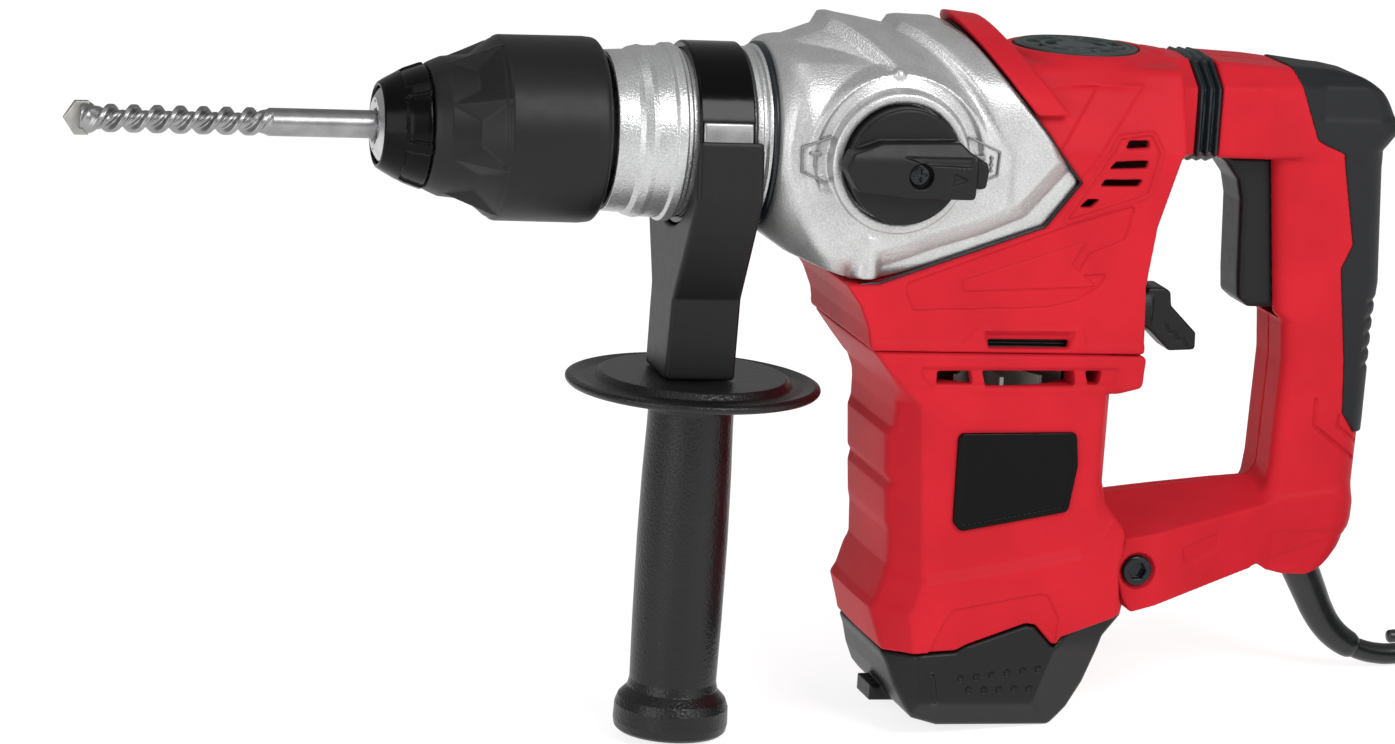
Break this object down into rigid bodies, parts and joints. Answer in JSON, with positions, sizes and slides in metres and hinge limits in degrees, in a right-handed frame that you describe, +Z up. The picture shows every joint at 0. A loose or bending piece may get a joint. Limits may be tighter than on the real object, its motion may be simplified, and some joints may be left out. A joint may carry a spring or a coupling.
{
  "type": "rotary hammer",
  "caption": "Corded rotary hammer with a vertical motor, slotted-shank drill bit, sprung chuck sleeve, side handle, selector knob and D-shaped rear handle that gives on a pivot.",
  "frame": {"origin": "on the floor, under the middle of the tool's own box, lead and plug left out", "axes": "+X to the rear, away from the bit; +Y to the tool's right; +Z up. The tool stands pitched nose up by about 5.2 degrees on its side handle and motor cap"},
  "size_m": [0.6114, 0.1705, 0.2649],
  "materials": {
    "red_plastic": "satin moulded glass-filled nylon",
    "black_plastic": "fine moulded texture, satin",
    "gloss_black": "glossy",
    "soft_rubber": "matt soft overmould",
    "die_cast": "shot-blasted die casting, slightly sparkling",
    "bright_steel": "ground steel",
    "dark_steel": "oiled dark steel",
    "carbide": "sintered carbide",
    "copper": "turned copper",
    "brass": "stamped brass",
    "carbon": "pressed carbon"
  },
  "bodies": {
    "housing": {"gearbox_housing": "die_cast", "barrel_collar": "die_cast", "gasket": "soft_rubber", "upper_cover": "red_plastic", "grease_cap": "black_plastic", "motor_housing": "red_plastic", "motor_end_cap": "black_plastic", "label_plate": "gloss_black", "spindle_bearing": "bright_steel", "stator": "dark_steel", "brush_holder_near": "brass", "brush_holder_far": "brass", "carbon_brush_near": "carbon", "carbon_brush_far": "carbon", "upper_bearing": "bright_steel", "lower_bearing": "bright_steel", "pivot_bolt": "dark_steel", "bellows": "soft_rubber", "cap_screw_front": "bright_steel", "cap_screw_rear": "bright_steel"},
    "spindle": {"tool_holder": "bright_steel", "cylinder": "bright_steel", "crown_gear": "dark_steel", "chuck_front_cap": "gloss_black", "chuck_front_ring": "bright_steel", "locking_ball_near": "bright_steel", "locking_ball_far": "bright_steel", "sleeve_spring": "dark_steel"},
    "chuck_sleeve": {"chuck_sleeve": "black_plastic"},
    "bit": {"drill_bit": "bright_steel", "carbide_tip": "carbide"},
    "impact_bolt": {"impact_bolt": "dark_steel"},
    "striker": {"striker": "dark_steel"},
    "piston": {"piston": "die_cast", "piston_pin": "bright_steel", "connecting_rod": "bright_steel"},
    "crank": {"crank_gear": "dark_steel"},
    "intermediate_shaft": {"intermediate_gear": "dark_steel", "bevel_pinion": "dark_steel"},
    "armature": {"armature_shaft": "bright_steel", "armature_core": "dark_steel", "commutator": "copper", "motor_fan": "black_plastic"},
    "selector_knob": {"selector_knob": "black_plastic", "knob_screw": "bright_steel"},
    "rotation_lever": {"rotation_lever": "black_plastic"},
    "side_handle": {"clamp_block": "black_plastic", "clamp_band": "dark_steel", "clamp_bolt": "bright_steel"},
    "side_grip": {"side_grip": "black_plastic"},
    "rear_handle": {"handle_near": "red_plastic", "handle_far": "red_plastic", "handle_rubber": "soft_rubber", "switch_body": "black_plastic", "strain_relief": "soft_rubber", "mains_lead": "soft_rubber", "lead_coil": "soft_rubber", "lead_tail": "soft_rubber", "mains_plug": "soft_rubber"},
    "trigger": {"trigger": "black_plastic"}
  },
  "joints": [
    {"name": "spindle_turn", "type": "hinge", "parent": "housing", "child": "spindle", "pos_m": [0.0912, 0.00525, 0.21367], "axis": [0.9958, 0, -0.0913], "continuous": true},
    {"name": "sleeve_pull", "type": "slide", "parent": "spindle", "child": "chuck_sleeve", "axis": [0.9958, 0, -0.0913], "range_m": [0, 0.008], "stiffness_N_per_m": 1500, "springref_m": -0.004, "deforming": ["sleeve_spring"]},
    {"name": "bit_play", "type": "slide", "parent": "spindle", "child": "bit", "axis": [-0.9958, 0, 0.0913], "range_m": [0, 0.007]},
    {"name": "impact_bolt_travel", "type": "slide", "parent": "spindle", "child": "impact_bolt", "axis": [-0.9958, 0, 0.0913], "range_m": [0, 0.003]},
    {"name": "striker_travel", "type": "slide", "parent": "spindle", "child": "striker", "axis": [-0.9958, 0, 0.0913], "range_m": [0, 0.009]},
    {"name": "piston_stroke", "type": "slide", "parent": "housing", "child": "piston", "axis": [0.9958, 0, -0.0913], "range_m": [0, 0.016]},
    {"name": "crank_turn", "type": "hinge", "parent": "housing", "child": "crank", "pos_m": [0.1151, 0.00525, 0.21148], "axis": [0.0913, 0, 0.9958], "continuous": true},
    {"name": "intermediate_turn", "type": "hinge", "parent": "housing", "child": "intermediate_shaft", "pos_m": [0.06531, 0.00525, 0.21604], "axis": [0.0913, 0, 0.9958], "continuous": true},
    {"name": "armature_turn", "type": "hinge", "parent": "housing", "child": "armature", "pos_m": [0.08207, 0.00525, 0.11409], "axis": [0.0913, 0, 0.9958], "continuous": true},
    {"name": "knob_turn", "type": "hinge", "parent": "housing", "child": "selector_knob", "pos_m": [0.04418, -0.04475, 0.21557], "axis": [0, -1, 0], "range_deg": [0, 180]},
    {"name": "rotation_lever_swing", "type": "hinge", "parent": "housing", "child": "rotation_lever", "pos_m": [0.14538, 0.00525, 0.14745], "axis": [0.9958, 0, -0.0913], "range_deg": [-45, 45]},
    {"name": "side_handle_swing", "type": "hinge", "parent": "housing", "child": "side_handle", "pos_m": [-0.01485, 0.00525, 0.2234], "axis": [0.9958, 0, -0.0913], "range_deg": [-180, 180]},
    {"name": "side_grip_twist", "type": "hinge", "parent": "side_handle", "child": "side_grip", "pos_m": [-0.02855, 0.00525, 0.07402], "axis": [0.0913, 0, 0.9958], "range_deg": [0, 360]},
    {"name": "rear_handle_give", "type": "hinge", "parent": "housing", "child": "rear_handle", "pos_m": [0.13495, 0.00525, 0.05552], "axis": [0, -1, 0], "range_deg": [0, 2], "stiffness_Nm_per_rad": 150, "deforming": ["bellows"]},
    {"name": "trigger_pull", "type": "hinge", "parent": "rear_handle", "child": "trigger", "pos_m": [0.20608, 0.00525, 0.19611], "axis": [0, -1, 0], "range_deg": [0, 8], "stiffness_Nm_per_rad": 1.5}
  ],
  "couplings": [
    {"joint": "intermediate_turn", "follows": "spindle_turn", "ratio": -3},
    {"joint": "armature_turn", "follows": "spindle_turn", "ratio": 19.286},
    {"joint": "crank_turn", "follows": "spindle_turn", "ratio": -3.2927}
  ]
}
